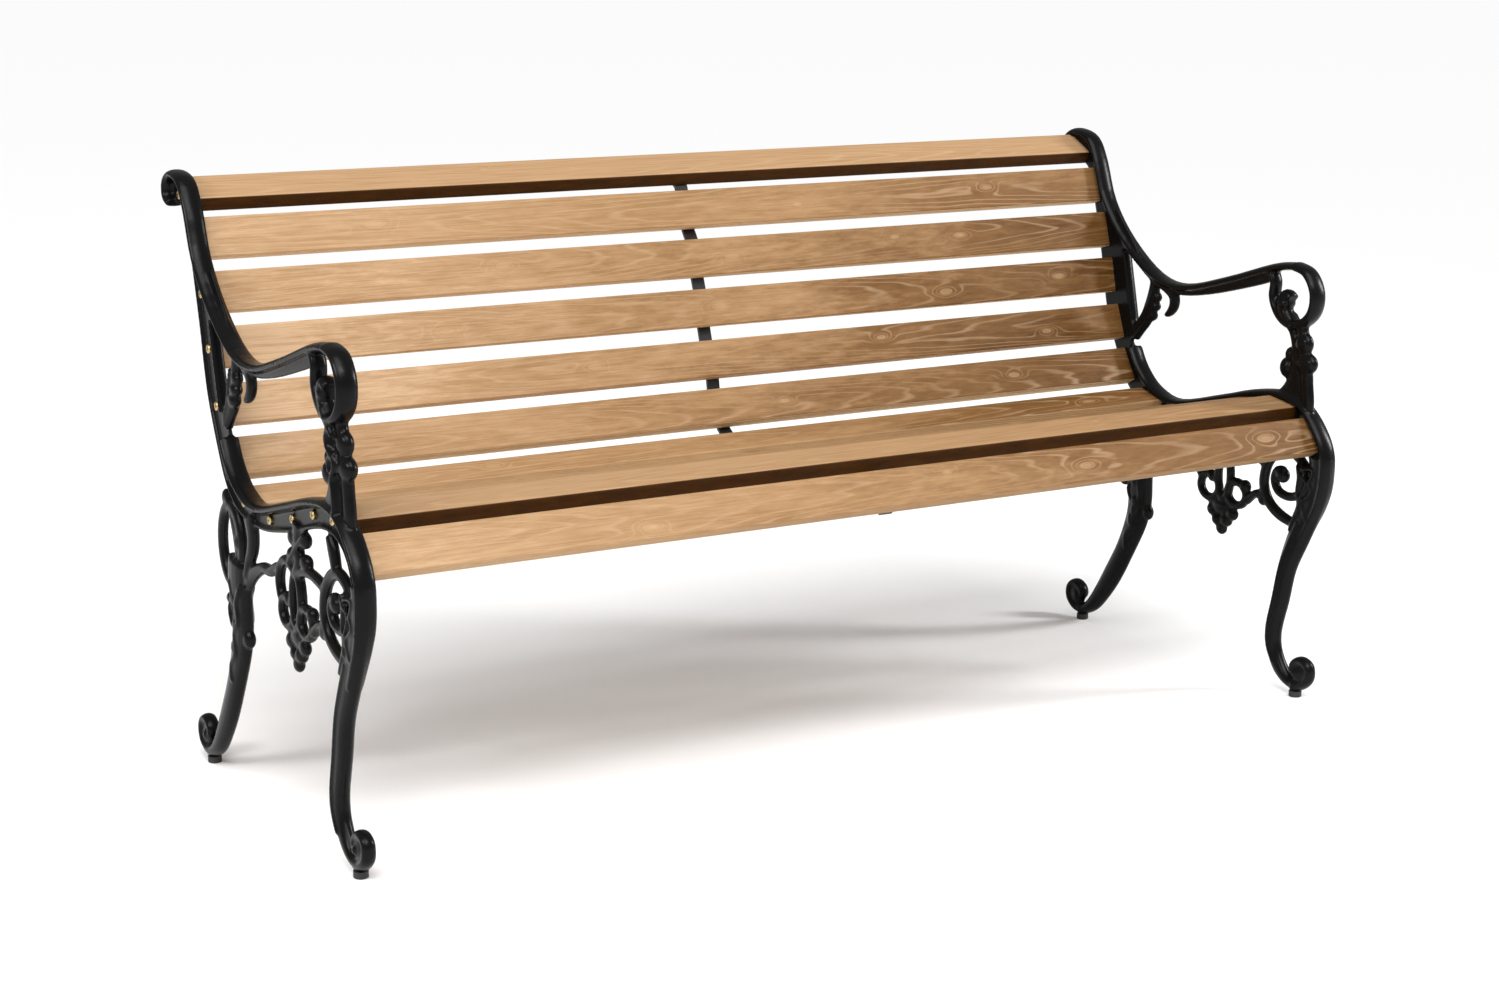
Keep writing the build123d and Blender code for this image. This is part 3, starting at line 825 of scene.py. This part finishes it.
# Per-slat tone offset and spread of the right-end painted shade: partly each board's own tone,
# partly painted light for how brightly each slat is lit.
TONE_AND_LIGHT_START = [0.2, 0.1, 0.04, -0.06, -0.04, 0.12, 0.15, 0.2, 0.2, 0.2, 0.16, 0.14]
STAIN_AND_SHADE_DEPTH = [0.06, 0.66, 0.9, 1.05, 1.02, 0.8, 0.7, 0.5, 0.5, 0.45, 0.35, 0.74]
for number, slat in enumerate(SLATS):
    board = frame["nodes"][slat]
    pine = stained_pine(slat, number, TILTS[number], TONE_AND_LIGHT_START[number], STAIN_AND_SHADE_DEPTH[number],
                        slat in ("back_slat_1", "seat_slat_5"), KNOTS[number])
    for holder in board.material_slots:
        holder.material = pine
print(len(SLATS), "slats finished;", len(pine.node_tree.nodes), "nodes on the last")

# %% [markdown]
# ## Zinc, strap steel and glides
# Yellow passivated zinc is a thin film, so its colour drifts between gold, rose and green. The
# strap is a rolled bar under black paint, and the glides are moulded plastic with a fine skin.

# %% Screw plating
def yellow_zinc():
    finish = Finish("yellow_zinc", Metallic=1.0)
    place = finish.node("ShaderNodeTexCoord", out="Object")
    film = finish.noise(place, 260, 3)
    grit = finish.noise(place, 2600, 2)
    finish.feed(
        Base_Color=finish.node("ShaderNodeValToRGB", {"stops": [
            (0.3, (0.42, 0.18, 0.12)), (0.44, (0.55, 0.37, 0.15)),
            (0.56, (0.6, 0.48, 0.24)), (0.68, (0.36, 0.42, 0.18))]}, {0: film}),
        Roughness=0.26 + grit * 0.2,
        Normal=finish.bumps(grit, 0.0001, 0.2),
    )
    return finish.material


plating = yellow_zinc()
for copy in screws:
    copy.data.materials.clear()
    copy.data.materials.append(plating)
print("screws plated")


# %% Strap paint and moulded plastic
def satin_black(name, low_colour, high_colour, grain_scale, gloss, depth):
    finish = Finish(name, Specular_IOR_Level=0.45)
    place = finish.node("ShaderNodeTexCoord", out="Object")
    grain = finish.noise(place, grain_scale, 3, 0.6)
    patches = finish.noise(place, 30, 3)
    finish.feed(
        Base_Color=finish.colours(patches, low_colour, high_colour),
        Roughness=gloss + patches * 0.14 + grain * 0.06,
        Normal=finish.bumps(grain, depth, 0.25),
    )
    return finish.material


strap_paint = satin_black("strap_paint", (0.006, 0.006, 0.009, 1), (0.014, 0.014, 0.019, 1),
                          grain_scale=700, gloss=0.3, depth=0.0002)
fixing_paint = satin_black("fixing_black", (0.012, 0.012, 0.012, 1), (0.03, 0.03, 0.03, 1),
                           grain_scale=1800, gloss=0.35, depth=0.0001)
glide_plastic = satin_black("glide_plastic", (0.010, 0.010, 0.011, 1), (0.02, 0.02, 0.021, 1),
                            grain_scale=1400, gloss=0.48, depth=0.0002)
GLIDES = [f"{end}_foot_pad_{side}" for end in ("front", "rear") for side in ("left", "right")]
for node, finish in [("centre_strap", strap_paint), ("strap_screws", fixing_paint)] + [
        (glide, glide_plastic) for glide in GLIDES]:
    for holder in frame["nodes"][node].material_slots:
        holder.material = finish
print("strap, its screws and", len(GLIDES), "glides finished")

# %% [markdown]
# ## Camera
# The camera stands to the left of the bench, a little above the arm, and looks down at it. Its
# three axes are worked out from a turn, a tilt and a slight roll.

# %% Camera
camera_place = (-1.9047, -3.0932, 1.1445)
turn, tilt, roll = math.radians(31.092), math.radians(12.592), math.radians(0.303)
ahead = Vector((math.sin(turn) * math.cos(tilt), math.cos(turn) * math.cos(tilt), -math.sin(tilt)))
level = Vector((math.cos(turn), -math.sin(turn), 0))
above = level.cross(ahead)
across = math.cos(roll) * level + math.sin(roll) * above
above = -math.sin(roll) * level + math.cos(roll) * above
camera = bpy.data.objects.new("camera", bpy.data.cameras.new("camera"))
camera.data.lens = 62.86
camera.data.sensor_width = 36.0
camera.data.clip_end = 50.0
camera.matrix_world = Matrix((
    (across.x, above.x, -ahead.x, camera_place[0]),
    (across.y, above.y, -ahead.y, camera_place[1]),
    (across.z, above.z, -ahead.z, camera_place[2]),
    (0, 0, 0, 1),
))
bpy.context.scene.collection.objects.link(camera)
bpy.context.scene.camera = camera
print("camera at", tuple(round(c, 3) for c in camera.location))

# %% [markdown]
# ## Floor and light
# A pale floor that runs far out under a white surround gives a plain studio. Most of the light is
# soft: a sun spread over 45 degrees, and the surround itself. Three lamps add what soft light
# lacks: one above and in front, one to the left, and a tall one to the right. Their shapes draw
# the highlights on the black paint. A surround that is bright enough to look white would wash
# the colours out, so the camera sees it brighter than it lights.

# %% Floor
FLOOR_SIZE = 160
select_only()
bpy.ops.mesh.primitive_plane_add(size=FLOOR_SIZE, location=(0, 0, 0))
floor = bpy.context.object
floor.name = "studio_floor"
bpy.ops.object.mode_set(mode="EDIT")
bpy.ops.mesh.select_all(action="SELECT")
bpy.ops.mesh.subdivide(number_cuts=3)
bpy.ops.object.mode_set(mode="OBJECT")
floor_paint = Finish("floor_paint", Base_Color=(0.93, 0.93, 0.93, 1), Roughness=0.9)
floor.data.materials.append(floor_paint.material)
print("floor", tuple(floor.dimensions))

# %% Lamps and daylight
def lamp(name, place, aim, size, power):
    light = bpy.data.lights.new(name, "AREA")
    light.shape = "RECTANGLE"
    light.size, light.size_y = size
    light.energy = power
    holder = bpy.data.objects.new(name, light)
    holder.location = place
    holder.rotation_euler = (Vector(aim) - Vector(place)).to_track_quat("-Z", "Y").to_euler()
    bpy.context.scene.collection.objects.link(holder)


lamp("key_lamp", (-1.0, -2.4, 3.0), (0, 0, 0.4), (1.6, 0.35), 28)
lamp("side_lamp", (-2.9, -0.6, 1.9), (-0.5, 0.1, 0.6), (1.0, 0.6), 34)
lamp("strip_lamp", (2.9, -1.3, 1.6), (-0.6, -0.2, 0.5), (0.45, 1.1), 75)
daylight = bpy.data.lights.new("daylight", "SUN")
daylight.energy, daylight.angle = 2.75, math.radians(45)
daylight_holder = bpy.data.objects.new("daylight", daylight)
daylight_holder.rotation_euler = Vector((0.35, 0.6, -1.0)).to_track_quat("-Z", "Y").to_euler()
bpy.context.scene.collection.objects.link(daylight_holder)
print("three lamps and a soft sun set")

# %% White surround
SEEN_STRENGTH, LIGHT_STRENGTH = 1.0, 0.36
surround = bpy.data.worlds.new("surround")
bpy.context.scene.world = surround
surround.use_nodes = True
nodes, links = surround.node_tree.nodes, surround.node_tree.links
background = nodes["Background"]
background.inputs["Color"].default_value = (1, 1, 1, 1)
ray = nodes.new("ShaderNodeLightPath")
strength = nodes.new("ShaderNodeMath")
strength.operation = "MULTIPLY_ADD"
strength.inputs[1].default_value = SEEN_STRENGTH - LIGHT_STRENGTH
strength.inputs[2].default_value = LIGHT_STRENGTH
links.new(ray.outputs["Is Camera Ray"], strength.inputs[0])
links.new(strength.outputs[0], background.inputs["Strength"])
bpy.context.scene.view_settings.view_transform = "Standard"
print("surround seen at", SEEN_STRENGTH, "and lighting at", LIGHT_STRENGTH)

# %% Finish
select_only()
bpy.context.view_layer.update()
